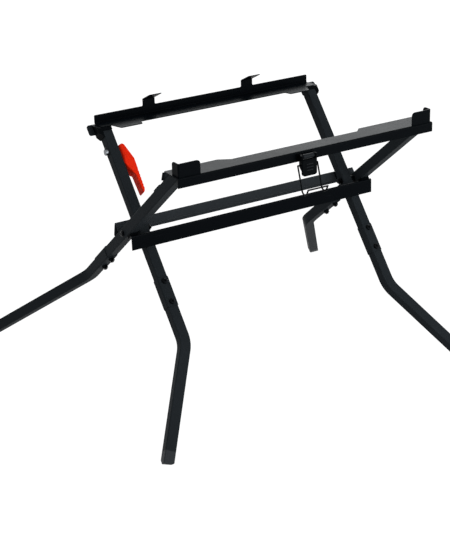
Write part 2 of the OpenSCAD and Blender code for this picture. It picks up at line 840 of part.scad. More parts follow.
// Lever: a plate with two cheeks that carry the pin and the bail
module latch_lever() {
    plate_y = pin_y - 8;
    back_y = pin_y + 4.5;
    head_z = pin_z + 5;
    // Top of the plate between the cheeks, below the barrel, and the plate's lower end
    plate_z = pin_z - 5.5;
    low = pin_z - latch_h;
    side = latch_w / 2;
    // The ears pass between the plate's upper corners
    inside = ear_in + gap;
    section = round_path([
        [-side, back_y, 0],
        [-side, plate_y, bend + sheet],
        [side, plate_y, bend + sheet],
        [side, back_y, 0]
    ]);
    plate = round_loop([
        [-side - past, plate_z, 0],
        [-side - past, head_z, 0],
        [-inside, head_z, 0],
        [-inside, plate_z, 0],
        [inside, plate_z, 0],
        [inside, head_z, 0],
        [side + past, head_z, 0],
        [side + past, plate_z, 0],
        [side, low, 8],
        [-side, low, 8]
    ]);
    cheek = round_loop([
        [plate_y - past, low - past, 0],
        [plate_y + sheet + bend, low - past, 0],
        [plate_y + sheet + bend, bail_z - 12, 0],
        [back_y + 0.1, bail_z - 3, 4],
        [back_y + 0.1, head_z, 4],
        [plate_y - past, head_z, 5]
    ]);
    color([0.12, 0.12, 0.13]) at_pivot() translate([latch_x, 0, 0]) difference() {
        intersection() {
            translate([0, 0, low]) linear_extrude(head_z - low) polygon(sheet_outline(section, sheet));
            translate([0, pin_y + tube, 0]) rotate([90, 0, 0]) linear_extrude(2 * tube) polygon(plate);
            along_x(-latch_w, latch_w) polygon(cheek);
        }
        translate([0, pin_y, pin_z]) bar_x(pin_r + run_fit, -latch_w, latch_w);
        translate([0, bail_y, bail_z]) bar_x(wire_d / 2 + run_fit, -latch_w, latch_w);
    }
}

// Straight wire between two points, with round joints left to the bends
module wire(p, q) {
    run = q - p;
    translate(p) rotate([0, atan2(norm([run[0], run[1]]), run[2]), atan2(run[1], run[0])])
        cylinder(d = wire_d, h = norm(run));
}

module wire_ball(p) {
    translate(p) sphere(d = wire_d);
}

// Bail: a wire loop hung in the lever's cheeks, whose lower end turns up into a hook
module latch_bail() {
    side_x = latch_w / 2 + wire_gap;
    inside = latch_w / 2 - sheet - gap;
    bend_y = -hook_r * (1 - cos(hook_turn));
    bend_z = -bail_len - hook_r * sin(hook_turn);
    tip_y = bend_y - hook_tip * sin(hook_turn);
    tip_z = bend_z - hook_tip * cos(hook_turn);
    color([0.14, 0.14, 0.15]) at_pivot() translate([latch_x, bail_y, bail_z])
        rotate([-bail_lean, 0, 0]) {
            for (x = [-side_x, side_x]) {
                wire([x, 0, 0], [sign(x) * inside, 0, 0]);
                wire_ball([x, 0, 0]);
                wire([x, 0, -bail_len], [x, 0, 0]);
                translate([x, -hook_r, -bail_len]) rotate([0, -90, 0]) rotate([0, 0, 90])
                    rotate_extrude(angle = hook_turn) translate([hook_r, 0]) circle(d = wire_d);
                wire([x, bend_y, bend_z], [x, tip_y, tip_z]);
                wire_ball([x, tip_y, tip_z]);
            }
            wire([-side_x, tip_y, tip_z], [side_x, tip_y, tip_z]);
        }
}

rear_rail();
front_rail();
front_lower_rail();
rear_lower_rail();
inner_leg("left");  // inner_leg_left
inner_leg("right");  // inner_leg_right
outer_leg("left");  // outer_leg_left
outer_leg("right");  // outer_leg_right
inner_sleeve("left");  // inner_sleeve_left
inner_sleeve("right");  // inner_sleeve_right
outer_sleeve("left");  // outer_sleeve_left
outer_sleeve("right");  // outer_sleeve_right
inner_lower_leg("left");  // inner_lower_leg_left
inner_lower_leg("right");  // inner_lower_leg_right
outer_lower_leg("left");  // outer_lower_leg_left
outer_lower_leg("right");  // outer_lower_leg_right
inner_foot("left");  // inner_foot_left
inner_foot("right");  // inner_foot_right
outer_foot("left");  // outer_foot_left
outer_foot("right");  // outer_foot_right
inner_sleeve_bolts("left");  // inner_sleeve_bolts_left
inner_sleeve_bolts("right");  // inner_sleeve_bolts_right
outer_sleeve_bolts("left");  // outer_sleeve_bolts_left
outer_sleeve_bolts("right");  // outer_sleeve_bolts_right
front_rest_pad("left");  // front_rest_pad_left
front_rest_pad("right");  // front_rest_pad_right
rear_rest_pad("left");  // rear_rest_pad_left
rear_rest_pad("right");  // rear_rest_pad_right
pivot_bolt("left");  // pivot_bolt_left
pivot_bolt("right");  // pivot_bolt_right
pivot_nut("left");  // pivot_nut_left
pivot_nut("right");  // pivot_nut_right
pivot_spacer("left");  // pivot_spacer_left
pivot_spacer("right");  // pivot_spacer_right
top_spacer("left");  // top_spacer_left
top_spacer("right");  // top_spacer_right
stop_tab("left");  // stop_tab_left
stop_tab("right");  // stop_tab_right
corner_stop("left");  // corner_stop_left
corner_stop("right");  // corner_stop_right
gusset("left");  // gusset_left
gusset("right");  // gusset_right
strike_plate();
lock_lever();
lock_shaft();
latch_base();
latch_pin();
latch_lever();
latch_bail();
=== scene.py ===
"""Looks of a folding saw stand: finishes, welds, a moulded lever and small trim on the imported
model, with its stage."""

import json
import math

import bmesh
import bpy
import numpy as np
from mathutils import Matrix, Vector


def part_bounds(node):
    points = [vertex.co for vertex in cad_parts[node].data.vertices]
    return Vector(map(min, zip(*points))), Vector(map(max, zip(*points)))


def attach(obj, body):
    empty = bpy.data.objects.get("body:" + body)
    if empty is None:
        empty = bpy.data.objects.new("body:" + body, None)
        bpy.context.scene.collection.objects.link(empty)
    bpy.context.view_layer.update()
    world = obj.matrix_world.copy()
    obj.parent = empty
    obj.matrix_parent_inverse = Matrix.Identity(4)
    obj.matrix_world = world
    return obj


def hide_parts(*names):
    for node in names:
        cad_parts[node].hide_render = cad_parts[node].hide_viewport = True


bl_info = {
    "name": "Folding saw stand",
    "version": (1, 0, 0),
    "blender": (4, 5, 0),
    "location": "View3D > Sidebar > Saw stand",
    "description": "Dresses the folding saw stand with its finishes, welds, trim and stage",
    "category": "Add Mesh",
}

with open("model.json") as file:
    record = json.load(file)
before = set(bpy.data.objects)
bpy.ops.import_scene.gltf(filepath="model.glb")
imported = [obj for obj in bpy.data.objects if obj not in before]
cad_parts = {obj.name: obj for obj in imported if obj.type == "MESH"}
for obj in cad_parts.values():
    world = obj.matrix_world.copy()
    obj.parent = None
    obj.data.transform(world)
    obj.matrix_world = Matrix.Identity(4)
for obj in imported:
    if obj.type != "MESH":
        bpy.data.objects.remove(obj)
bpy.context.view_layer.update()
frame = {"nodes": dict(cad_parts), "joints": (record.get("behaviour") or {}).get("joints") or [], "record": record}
MM = 0.001


def part_box(node):
    """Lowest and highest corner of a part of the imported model, as arrays in metres."""
    low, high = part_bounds(node)
    return np.array(low), np.array(high)


def joint_place(name):
    """Place of a joint's axis, as an array in metres."""
    joint = next(j for j in frame["joints"] if j["name"] == name)
    return np.array(joint["pos_m"])


PIVOT = joint_place("fold")
LOCK_SHAFT = joint_place("lock_swing")
X, Y, Z = np.eye(3)

# Directions up a leg and out of its upper face, on both frames
INNER_LEAN = math.radians(39.5)
OUTER_LEAN = math.radians(50.5)
INNER_UP = np.array([0.0, math.sin(INNER_LEAN), math.cos(INNER_LEAN)])
INNER_OUT = np.array([0.0, -math.cos(INNER_LEAN), math.sin(INNER_LEAN)])
OUTER_UP = np.array([0.0, -math.sin(OUTER_LEAN), math.cos(OUTER_LEAN)])
OUTER_OUT = np.array([0.0, math.cos(OUTER_LEAN), math.sin(OUTER_LEAN)])

# Welds, in leg coordinates in millimetres: the face they lie on, the stop flange's edge, the bend
# that lies on the leg, and how far a bead stops short of the leg's sides
LEG_FACE = 12.5
FLANGE_EDGE = -19.4
BEND_EDGE = -48.8
WELD_INSET = 1.5

# Lock lever, in millimetres: its top and end as drops below the shaft, with its count of rings, and
# its outline as rows of drops, each with its row of sizes. Sizes in x are counted from the leg's
# side. The fine joints have drops, a depth and half a width.
LEVER_TOP, LEVER_END, LEVER_RINGS = -10.0, 116.0, 316
OUTER_EDGE = ([-10, -8.8, -6.7, 31.5, 106.3, 113.9, 116], [9, 12.4, 15.1, 27.8, 25.4, 22.9, 20.8])
FRONT_EDGE = (
    [-10, -8.3, 38, 41, 66, 75, 112, 116],
    [4.2, 1.2, 1.0, 1.8, 13.7, 16.7, 18.4, 19.6],
)
REAR_EDGE = ([-10, -8.3, 52, 64.6, 66.5, 112, 116], [4.2, 1.2, 1.0, 12.6, 16.2, 18.3, 19.6])
HALF_DEPTH = ([-10, -9, -7, 112, 115, 116], [11.6, 12.6, 13, 13, 12.2, 11])
BEVEL = ([-10, 19.1, 40, 116], [5.0, 6.2, 0.2, 0.2])
FINE_JOINTS = (74.0, 94.0)
FINE_JOINT_DEPTH = 0.6
FINE_JOINT_WIDTH = 0.7

# Draw latch, in metres: the lowest rib's height over the lever's end, half the ribs' width, their
# height, how far the barrel stops short of the pin's end, and the depth of the barrel's seam
LOWEST_RIB = 0.0130
RIB_HALF_WIDTH = 0.0012
RIB_HEIGHT = 0.0010
BARREL_INSET = 0.0066
SEAM_DEPTH = 0.00035

# Colours that no user changes, and how much dust lightens a coat
BOLT_COLOUR = (0.004, 0.0046, 0.0053)
SCUFF_COLOUR = (0.026, 0.028, 0.03, 1.0)
DUST_LIFT = 0.004
WHITE = (1.0, 1.0, 1.0, 1.0)
FLOOR_COLOUR = (0.82, 0.82, 0.82, 1.0)

# The floor's white share and its strength, which make up for the share that stays plain
FLOOR_WHITE = 0.86
FLOOR_STRENGTH = 1.13
WORLD_STRENGTH = 0.25

# Faintly cool light, as of a cloudy sky. Each lamp has a place, a side in metres and a power in
# watts, and all point at the middle of the stand.
LAMP_TINT = (0.95, 0.985, 1.0)
LAMP_TARGET = (0.0, 0.0, 0.35)
LAMPS = {
    "back_lamp": ((2.3, 4.4, 2.4), 4.0, 185.0),
    "top_lamp": ((-1.7, 0.3, 3.0), 2.2, 36.0),
    "front_lamp": ((1.1, -2.5, 1.0), 2.2, 64.0),
}


def on_inner(x, out, up):
    """A point on the inner frame, from leg coordinates in millimetres."""
    return PIVOT * (Y + Z) + MM * (x * X + out * INNER_OUT + up * INNER_UP)


def on_outer(x, out, up):
    """A point on the outer frame, from leg coordinates in millimetres."""
    return PIVOT * (Y + Z) + MM * (x * X + out * OUTER_OUT + up * OUTER_UP)


def grid_mesh(rows):
    """Quads over rings of points, closed round each ring and fanned to a middle at both ends."""
    count, around, _ = rows.shape
    ring = np.arange(around)
    first = np.arange(count - 1)[:, None] * around
    quads = np.stack(
        (first + ring, first + (ring + 1) % around, first + around + (ring + 1) % around,
         first + around + ring), axis=-1,
    ).reshape(-1, 4)
    points = np.concatenate((rows.reshape(-1, 3), rows[0].mean(0)[None], rows[-1].mean(0)[None]))
    head = count * around
    last = (count - 1) * around
    start = np.stack((np.full(around, head), (ring + 1) % around, ring), axis=-1)
    end = np.stack((np.full(around, head + 1), last + ring, last + (ring + 1) % around), axis=-1)
    return points, quads.tolist() + start.tolist() + end.tolist()


def joined(parts):
    """Several meshes as one."""
    points, faces, base = [], [], 0
    for part_points, part_faces in parts:
        points.append(part_points)
        faces += [[base + corner for corner in face] for face in part_faces]
        base += len(part_points)
    return np.concatenate(points), faces


def make_piece(name, parts, body, slot, coat=None):
    """Puts surfaces in one object that rides on a body, with its faces turned outwards. Its
    finish is the slot's own unless a lightened copy of it, which paints light, is named."""
    points, faces = joined(parts)
    mesh = bpy.data.meshes.new(name)
    mesh.from_pydata(points.tolist(), [], faces)
    work = bmesh.new()
    work.from_mesh(mesh)
    bmesh.ops.recalc_face_normals(work, faces=work.faces)
    work.to_mesh(mesh)
    work.free()
    mesh.shade_smooth()
    mesh.materials.append(FINISH[coat or slot])
    piece = bpy.data.objects.new(name, mesh)
    bpy.context.scene.collection.objects.link(piece)
    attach(piece, body)
    return piece


class Value:
    """A shader socket on which sums are written as Python expressions."""

    def __init__(self, shader, socket):
        self.shader = shader
        self.socket = socket

    def _maths(self, operation, *values):
        return self.shader.node("ShaderNodeMath", {"operation": operation}, dict(enumerate(values)))

    def __add__(self, other):
        return self._maths("ADD", self, other)

    def __mul__(self, other):
        return self._maths("MULTIPLY", self, other)

    def clamped(self, low, high):
        """The value mapped from low..high to 0..1 and kept there."""
        values = {"Value": self, "From Min": low, "From Max": high}
        return self.shader.node("ShaderNodeMapRange", {"clamp": True}, values)


class Shader:
    """The node tree of a material or a world and the one way in which its nodes are made."""

    def __init__(self, owner):
        owner.use_nodes = True
        self.owner = owner
        self.tree = owner.node_tree
        self.tree.nodes.clear()

    def node(self, kind, settings=None, values=None, out=0):
        """Adds a node of a kind, sets it up, fills or links its sockets and returns an output."""
        made = self.tree.nodes.new(kind)
        for key, value in (settings or {}).items():
            setattr(made, key, value)
        for key, value in (values or {}).items():
            socket = made.inputs[key]
            if isinstance(value, Value):
                self.tree.links.new(value.socket, socket)
            else:
                socket.default_value = value
        return Value(self, made.outputs[out])

    def seen(self):
        """1 to the camera, in gloss and through glass, and 0 to other light."""
        camera = self.node("ShaderNodeLightPath", out="Is Camera Ray")
        outputs = camera.socket.node.outputs
        gloss = Value(self, outputs["Is Glossy Ray"])
        through = Value(self, outputs["Is Transmission Ray"])
        return (camera + gloss + through).clamped(0.0, 1.0)

    def surface(self, shader, kind="ShaderNodeOutputMaterial"):
        """Ends the tree in a shader and returns the material or world."""
        output = self.tree.nodes.new(kind)
        self.tree.links.new(shader.socket, output.inputs["Surface"])
        return self.owner


class Finish(Shader):
    """A material on an object's own coordinates."""

    def __init__(self, name):
        super().__init__(bpy.data.materials.new(name))
        self.place = self.node("ShaderNodeTexCoord", out="Object")

    def stretched(self, scale):
        """Object coordinates, scaled per axis."""
        return self.node("ShaderNodeMapping", {}, {"Vector": self.place, "Scale": scale})

    def noise(self, scale, detail, rough, place=None):
        """Smooth noise from 0 to 1; scale is in waves per metre."""
        return self.node(
            "ShaderNodeTexNoise",
            {},
            {"Vector": place or self.place, "Scale": scale, "Detail": detail, "Roughness": rough},
        )

    def mix(self, factor, first, second):
        """A colour between two."""
        return self.node(
            "ShaderNodeMix", {"data_type": "RGBA"}, {0: factor, 6: first, 7: second}, out=2
        )

    def relief(self, height, depth):
        """A bump of a given depth in metres."""
        return self.node(
            "ShaderNodeBump", {}, {"Height": height, "Distance": depth, "Strength": 1.0}
        )

    def principled(self, **sockets):
        """Ends in a Principled shader, whose sockets are named with underscores for spaces."""
        values = {key.replace("_", " "): value for key, value in sockets.items()}
        return self.surface(self.node("ShaderNodeBsdfPrincipled", {}, values))


def opaque(colour):
    """A colour property as four numbers."""
    return (*colour, 1.0)


def scaled(colour, factor, lift=0.0):
    """A colour times a factor, plus a lift, as four numbers of at most 1."""
    return opaque([min(1.0, c * factor + lift) for c in colour])


class SawStandFinishes(bpy.types.PropertyGroup):
    """Colours and grain of the stand's finishes."""

    frame_colour: bpy.props.FloatVectorProperty(
        name="Frame coat", description="Colour of the legs' powder coat", subtype="COLOR",
        default=(0.0142, 0.0168, 0.0192), min=0, max=1,
    )
    rail_colour: bpy.props.FloatVectorProperty(
        name="Rail coat", description="Colour of the rails' powder coat", subtype="COLOR",
        default=(0.0013, 0.0020, 0.0029), min=0, max=1,
    )
    # Painted light: the rail coat lightened for the rear lower rail, which has the same black coat as the other
    # rails
    rail_painted_light_colour: bpy.props.FloatVectorProperty(
        name="Rear lower rail", description="Colour of the rear lower rail's coat", subtype="COLOR",
        default=(0.029, 0.033, 0.037), min=0, max=1,
    )
    trim_colour: bpy.props.FloatVectorProperty(
        name="Trim", description="Colour of the black latch, rubber and plastic trim",
        subtype="COLOR", default=(0.0012, 0.0017, 0.0023), min=0, max=1,
    )
    foot_colour: bpy.props.FloatVectorProperty(
        name="Feet", description="Colour of the foot caps", subtype="COLOR",
        default=(0.018, 0.0205, 0.0235), min=0, max=1,
    )
    lever_colour: bpy.props.FloatVectorProperty(
        name="Lock lever", description="Colour of the lock lever", subtype="COLOR",
        default=(0.78, 0.022, 0.0045), min=0, max=1,
    )
    zinc_colour: bpy.props.FloatVectorProperty(
        name="Zinc", description="Colour of the zinc plated shaft", subtype="COLOR",
        default=(0.19, 0.20, 0.215), min=0, max=1,
    )
    coat_grain: bpy.props.FloatProperty(
        name="Coat grain", description="Size of the powder coat's grain", subtype="DISTANCE",
        unit="LENGTH", default=0.0011, min=0.0003, max=0.004,
    )


class SawStandStage(bpy.types.PropertyGroup):
    """Camera and floor."""

    camera_place: bpy.props.FloatVectorProperty(
        name="Camera place", description="Where the camera stands", subtype="TRANSLATION",
        unit="LENGTH", default=(-1.62755, -2.63630 + PIVOT[1], 1.14742 + PIVOT[2]),
    )
    yaw: bpy.props.FloatProperty(
        name="Yaw", description="Turn of the view to the right of straight to the rear",
        subtype="ANGLE", default=math.radians(30.61),
    )
    pitch: bpy.props.FloatProperty(
        name="Pitch", description="Fall of the view below the horizon", subtype="ANGLE",
        default=math.radians(23.02),
    )
    roll: bpy.props.FloatProperty(
        name="Roll", description="Turn of the view round its own line", subtype="ANGLE",
        default=math.radians(-1.76),
    )
    lens: bpy.props.FloatProperty(
        name="Lens", description="Focal length for a 36 mm long side", subtype="DISTANCE_CAMERA",
        default=93.08,
    )
    floor_size: bpy.props.FloatProperty(
        name="Floor", description="Side of the floor", unit="LENGTH", default=40.0,
    )


def powder_coat(name, colour, grain, gloss=0.42, shine=0.007):
    """Satin powder coat: fine orange peel, cloudy gloss, thin dust and scuffs."""
    s = Finish(name)
    peel = s.noise(1 / grain, 2.0, 0.55)
    cloud = s.noise(9.0, 3.0, 0.6)
    dust = s.noise(140.0, 4.0, 0.7).clamped(0.56, 0.78)
    scuff = s.noise(1.0, 3.0, 0.6, s.stretched((18.0, 320.0, 320.0))).clamped(0.66, 0.74)
    base = s.mix(cloud.clamped(0.3, 0.7) * 0.5, opaque(colour), scaled(colour, 1.35))
    base = s.mix(dust * 0.22, base, scaled(colour, 1.0, DUST_LIFT))
    base = s.mix(scuff * 0.12, base, SCUFF_COLOUR)
    return s.principled(
        Base_Color=base, Roughness=cloud * 0.12 + (gloss - 0.06) + dust * 0.1 + scuff * 0.08,
        Metallic=0.0, Normal=s.relief(peel, 0.00006), Specular_IOR_Level=shine,
    )


def moulded(name, colour, rough, grain=0.0006, depth=0.00005, shine=0.1):
    """Moulded plastic or rubber: leather-like grain, faint flow marks and handling shine."""
    s = Finish(name)
    pores = s.node(
        "ShaderNodeTexVoronoi", {"feature": "F1"}, {"Vector": s.place, "Scale": 1 / grain}
    )
    cloud = s.noise(22.0, 3.0, 0.6)
    dust = s.noise(260.0, 4.0, 0.7).clamped(0.55, 0.8)
    base = s.mix(cloud.clamped(0.3, 0.75) * 0.55, opaque(colour), scaled(colour, 1.22))
    base = s.mix(dust * 0.12, base, scaled(colour, 1.0, DUST_LIFT))
    return s.principled(
        Base_Color=base, Roughness=cloud * 0.14 + (rough - 0.07) + dust * 0.06,
        Normal=s.relief(pores, depth), Specular_IOR_Level=shine,
    )


def plated(name, colour, rough, grain=2600.0):
    """Zinc plated or blackened steel: drawn along X, with a cloudy passivation."""
    s = Finish(name)
    lines = s.noise(1.0, 3.0, 0.6, s.stretched((90.0, grain, grain)))
    cloud = s.noise(160.0, 3.0, 0.6)
    base = s.mix(cloud.clamped(0.3, 0.7) * 0.6, opaque(colour), scaled(colour, 0.72))
    return s.principled(
        Base_Color=base, Metallic=1.0, Roughness=lines * 0.16 + (rough - 0.08) + cloud * 0.1,
        Normal=s.relief(lines, 0.00003),
    )


FINISH = {}


def make_finishes(look):
    """Fills FINISH with one material for each slot of the record, and with two copies lightened as painted light.
    """
    grain = look.coat_grain
    # Three times the trim colour, lifted: a painted highlight for the latch's ribs and barrel, which have the same
    # black coat as the latch
    rolled = [3 * c + 0.003 for c in look.trim_colour]
    for kind, name, colour, settings in (
        (powder_coat, "frame_coat", look.frame_colour, {"grain": grain}),
        (powder_coat, "rail_coat", look.rail_colour,
         {"grain": grain, "gloss": 0.36, "shine": 0.016}),
        # Painted light: a lightened copy of the rail coat for the rear lower rail
        (powder_coat, "satin_rail_coat", look.rail_painted_light_colour, {"grain": grain}),
        (powder_coat, "latch_coat", look.trim_colour,
         {"grain": grain * 0.6, "gloss": 0.34, "shine": 0.02}),
        # Painted highlight: the latch coat lightened for the ribs and the barrel
        (powder_coat, "rolled_latch_coat", rolled,
         {"grain": grain * 0.5, "gloss": 0.3, "shine": 0.05}),
        (moulded, "foot_plastic", look.foot_colour, {"rough": 0.56}),
        (moulded, "spacer_plastic", look.trim_colour, {"rough": 0.5, "shine": 0.02}),
        (moulded, "rest_rubber", look.trim_colour,
         {"rough": 0.72, "grain": 0.0009, "depth": 0.00009, "shine": 0.02}),
        (plated, "black_bolt", BOLT_COLOUR, {"rough": 0.36}),
        (plated, "zinc", look.zinc_colour, {"rough": 0.3}),
        (moulded, "lever_red", look.lever_colour,
         {"rough": 0.42, "grain": 0.0008, "depth": 0.00002, "shine": 0.03}),
    ):
        FINISH[name] = kind(name, colour, **settings)


class SAWSTAND_OT_finishes(bpy.types.Operator):
    """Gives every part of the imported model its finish"""

    bl_idname = "sawstand.finishes"
    bl_label = "Finishes"

    def execute(self, context):
        make_finishes(context.scene.saw_stand_finishes)
        slot_of = {row["node"]: row["material_slot"] for row in frame["record"]["subparts"]}
        for name, part in frame["nodes"].items():
            part.data.materials.clear()
            # The rear lower rail gets the rail coat's lightened copy, as painted light
            coat = "satin_rail_coat" if name == "rear_lower_rail" else slot_of[name]
            part.data.materials.append(FINISH[coat])
        return {"FINISHED"}


class SawStandWelds(bpy.types.PropertyGroup):
    """Weld beads along the joints of the steel frames."""

    size: bpy.props.FloatProperty(
        name="Leg", description="Leg length of a weld's section", subtype="DISTANCE",
        unit="LENGTH", default=0.0032, min=0.001, max=0.006,
    )
    ripple: bpy.props.FloatProperty(
        name="Ripple", description="Distance between a weld's ripples", subtype="DISTANCE",
        unit="LENGTH", default=0.0021, min=0.001, max=0.005,
    )


def weld_bead(start, end, first, second, look):
    """Fillet along a line. Its section runs from one face to the other as a bulging arc,
    r * (cos(a) ** 1.2, sin(a) ** 1.2) with a from 0 to 90 degrees, closed behind the corner.
    The size r swells with |sin| of the way along, once each ripple, and dies away at the ends."""
    length = np.linalg.norm(end - start)
    way = np.linspace(0.0, 1.0, max(12, int(length / look.ripple * 8)))
    angle = np.linspace(0.0, math.pi / 2, 9)
    arc = np.stack((np.cos(angle), np.sin(angle)), axis=-1).clip(0) ** 1.2
    section = np.concatenate((arc, [[-0.12, -0.12]]))
    swell = 0.84 + 0.16 * np.abs(np.sin(np.pi * way * length / look.ripple)) ** 0.6
    fade = np.minimum(1.0, np.minimum(way, 1.0 - way) * length / (0.8 * look.size)) ** 0.5
    size = look.size * swell * (0.25 + 0.75 * fade)
    line = start + way[:, None] * (end - start)
    cross = section[:, :1] * first + section[:, 1:] * second
    return grid_mesh(line[:, None] + size[:, None, None] * cross[None])


class SAWSTAND_OT_welds(bpy.types.Operator):
    """Welds the lower rails to their legs"""

    bl_idname = "sawstand.welds"
    bl_label = "Welds"

    def execute(self, context):
        look = context.scene.saw_stand_welds
        for frame_name, place, up, out in (
            ("inner", on_inner, INNER_UP, INNER_OUT),
            ("outer", on_outer, OUTER_UP, OUTER_OUT),
        ):
            low, high = part_box(f"{frame_name}_leg_right")
            inner_x, outer_x = low[0] / MM + WELD_INSET, high[0] / MM - WELD_INSET
            beads = []
            for side in (-1, 1):
                for at, direction in ((FLANGE_EDGE, up), (BEND_EDGE, -up)):
                    beads.append(weld_bead(
                        place(side * inner_x, LEG_FACE, at), place(side * outer_x, LEG_FACE, at),
                        out, direction, look,
                    ))
            make_piece(f"{frame_name}_welds", beads, f"{frame_name}_frame", "frame_coat")
        return {"FINISHED"}


class SawStandLever(bpy.types.PropertyGroup):
    """The red lock lever's grip."""

    rib_pitch: bpy.props.FloatProperty(
        name="Rib pitch", description="Distance between the grip's finger waves", unit="LENGTH",
        subtype="DISTANCE", default=0.008, min=0.004, max=0.01,
    )
    rib_depth: bpy.props.FloatProperty(
        name="Rib depth", description="Depth of the finger waves", subtype="DISTANCE",
        unit="LENGTH", default=0.0012, min=0.0, max=0.002,
    )
    rib_start: bpy.props.FloatProperty(
        name="Rib start", description="Drop from the shaft to the first wave", unit="LENGTH",
        subtype="DISTANCE", default=0.058, min=0.05, max=0.08,
    )
    rib_end: bpy.props.FloatProperty(
        name="Rib end", description="Drop from the shaft to the last wave", unit="LENGTH",
        subtype="DISTANCE", default=0.106, min=0.09, max=0.11,
    )
    crispness: bpy.props.FloatProperty(
        name="Crispness", description="Exponent of the grip's section; more is squarer",
        default=11.0, min=2.0, max=20.0,
    )


def softened(values):
    """A row of numbers with its corners rounded by three rounds of three-point means."""
    for _ in range(3):
        values = np.concatenate((
            values[:1], 0.25 * values[:-2] + 0.5 * values[1:-1] + 0.25 * values[2:], values[-1:]
        ))
    return values


def lever_surface(look):
    """Loft down the leg from above the shaft to the grip's end. Each ring is a superellipse
    |x/a|^n + |t/b|^n = 1 whose edges in x and half depth b follow straight runs between stations.
    Beside the hub |t| <= b - 2 * max(0, c - x) cuts a bevel of width c towards the leg. The inner
    edge runs from a front to a rear row of stations, so the slope at the grip's root is twisted.
    The grip's outer side has finger waves, sin(pi * s / pitch) ** 2 deep, and its inner side has
    two fine joints of Gaussian section."""
    drop = np.linspace(LEVER_TOP, LEVER_END, LEVER_RINGS)
    x_out, front_in, rear_in, half, bevel = (
        softened(np.interp(drop, stations, sizes))
        for stations, sizes in (OUTER_EDGE, FRONT_EDGE, REAR_EDGE, HALF_DEPTH, BEVEL)
    )
    ring = np.linspace(0.0, 2 * math.pi, 96, endpoint=False)
    power = 2 / look.crispness
    across = np.sign(np.cos(ring)) * np.abs(np.cos(ring)) ** power
    depth = np.sign(np.sin(ring)) * np.abs(np.sin(ring)) ** power
    x_in = front_in[:, None] * (1 + depth) / 2 + rear_in[:, None] * (1 - depth) / 2
    x = x_in + (x_out[:, None] - x_in) * (1 + across) / 2
    widest = half[:, None] - 2 * np.maximum(0.0, bevel[:, None] - (x - x_in))
    t = np.clip(half[:, None] * depth, -widest, widest)
    first, last = look.rib_start / MM, look.rib_end / MM
    waves = np.sin(math.pi * (drop - first) * MM / look.rib_pitch) ** 2 * look.rib_depth / MM
    waves *= (drop > first) & (drop < last)
    x -= waves[:, None] * np.clip(across, 0.0, 1.0) ** 3
    joints = sum(
        FINE_JOINT_DEPTH * np.exp(-((drop - at) / FINE_JOINT_WIDTH) ** 2) for at in FINE_JOINTS
    )
    x += joints[:, None] * np.clip(-across, 0.0, 1.0) ** 3
    low, _ = part_box("lock_lever")
    # The CAD lever stands 1 mm off the leg's side
    leg_side = (low[0] - MM) * X + LOCK_SHAFT * (Y + Z)
    shift = x[..., None] * X + t[..., None] * INNER_OUT - drop[:, None, None] * INNER_UP
    return grid_mesh(leg_side + MM * shift)


class SAWSTAND_OT_lever(bpy.types.Operator):
    """Makes the moulded red lock lever"""

    bl_idname = "sawstand.lever"
    bl_label = "Lock lever"

    def execute(self, context):
        surface = lever_surface(context.scene.saw_stand_lever)
        lever = make_piece("lock_lever_moulded", [surface], "lock", "lever_red")
        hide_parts("lock_lever")
        return {"FINISHED"}


class SawStandTrim(bpy.types.PropertyGroup):
    """Small trim on the draw latch."""

    rib_length: bpy.props.FloatProperty(
        name="Rib length", description="Length of the latch lever's ribs", subtype="DISTANCE",
        unit="LENGTH", default=0.0185, min=0.008, max=0.024,
    )
    rib_step: bpy.props.FloatProperty(
        name="Rib step", description="Distance between the latch lever's ribs", unit="LENGTH",
        subtype="DISTANCE", default=0.0067, min=0.005, max=0.01,
    )
    barrel_size: bpy.props.FloatProperty(
        name="Barrel", description="Diameter of the latch's rolled barrel", unit="LENGTH",
        subtype="DISTANCE", default=0.0108, min=0.0092, max=0.0112,
    )


def latch_rib(middle, length, width, height):
    """Bar along X with round ends that rises towards -Y: rings across it, whose section is
    w * cos(a) in z and h * sin(a) in y, grow with sqrt(1 - u ** 8) from end to end."""
    way = np.linspace(-1.0, 1.0, 33)
    angle = np.linspace(0.0, 2 * math.pi, 24, endpoint=False)
    grow = np.sqrt(np.clip(1 - way ** 8, 0.0, 1.0))[:, None]
    z = grow * width * np.cos(angle)
    y = grow * height * np.sin(angle)
    x = np.broadcast_to(way[:, None] * length / 2, z.shape)
    return grid_mesh(middle + x[..., None] * X + y[..., None] * Y + z[..., None] * Z)


def rolled_barrel(middle, half_length, radius):
    """Barrel along X about the latch's pin: rings of radius r * (1 - u ** 20) ** 0.25 from end to
    end, with a seam of Gaussian section where the rolled sheet meets itself."""
    way = np.linspace(-1.0, 1.0, 41)
    angle = np.linspace(0.0, 2 * math.pi, 72, endpoint=False)
    seam = SEAM_DEPTH * np.exp(-((angle - 1.2 * math.pi) / 0.05) ** 2)
    size = (radius - seam) * np.clip(1 - way ** 20, 0.0, 1.0)[:, None] ** 0.25
    rings = size[..., None] * (np.cos(angle)[:, None] * Y + np.sin(angle)[:, None] * Z)
    return grid_mesh(middle + (way * half_length)[:, None, None] * X + rings)


